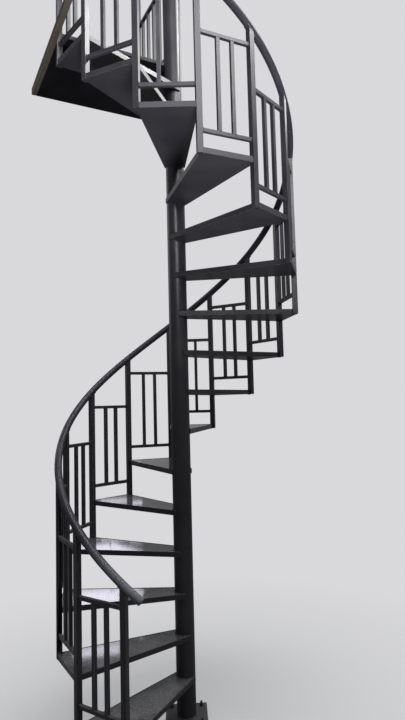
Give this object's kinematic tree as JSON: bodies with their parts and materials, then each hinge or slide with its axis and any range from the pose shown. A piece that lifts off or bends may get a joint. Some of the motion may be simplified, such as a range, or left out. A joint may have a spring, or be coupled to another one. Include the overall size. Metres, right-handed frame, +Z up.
{
  "type": "spiral staircase",
  "caption": "Narrow steel spiral stair with wedge treads on a round column, square balusters, a helical pipe handrail and a quarter landing.",
  "frame": {"origin": "on the column's axis at floor level, in the underside of the foot plate", "axes": "+Z up along the column, -Y toward the low end's open side, where the climb is seen from, +X to the right from there"},
  "size_m": [1.5285, 1.3379, 4.49],
  "materials": {
    "paint_charcoal": "semi-gloss brushed-on charcoal paint, dusty",
    "stone_fill": "ground and polished grey terrazzo, dusty",
    "primer_olive": "dull brown primer"
  },
  "bodies": {
    "root": {"column": "paint_charcoal", "foot_plate": "paint_charcoal", "column_cap": "paint_charcoal", "post_00": "paint_charcoal", "tread_01": "paint_charcoal", "tread_02": "paint_charcoal", "tread_03": "paint_charcoal", "tread_04": "paint_charcoal", "tread_05": "paint_charcoal", "tread_06": "paint_charcoal", "tread_07": "paint_charcoal", "tread_08": "paint_charcoal", "tread_09": "paint_charcoal", "tread_10": "paint_charcoal", "tread_11": "paint_charcoal", "tread_12": "paint_charcoal", "tread_13": "paint_charcoal", "tread_14": "paint_charcoal", "tread_15": "paint_charcoal", "tread_16": "paint_charcoal", "tread_fills": "stone_fill", "panel_01": "paint_charcoal", "panel_02": "paint_charcoal", "panel_03": "paint_charcoal", "panel_04": "paint_charcoal", "panel_05": "paint_charcoal", "panel_06": "paint_charcoal", "panel_07": "paint_charcoal", "panel_08": "paint_charcoal", "panel_09": "paint_charcoal", "panel_10": "paint_charcoal", "panel_11": "paint_charcoal", "panel_12": "paint_charcoal", "panel_13": "paint_charcoal", "panel_14": "paint_charcoal", "panel_15": "paint_charcoal", "panel_16": "paint_charcoal", "handrail": "paint_charcoal", "landing_frame": "paint_charcoal", "landing_deck": "stone_fill", "landing_guard": "paint_charcoal", "landing_bearer": "primer_olive"}
  },
  "joints": []
}
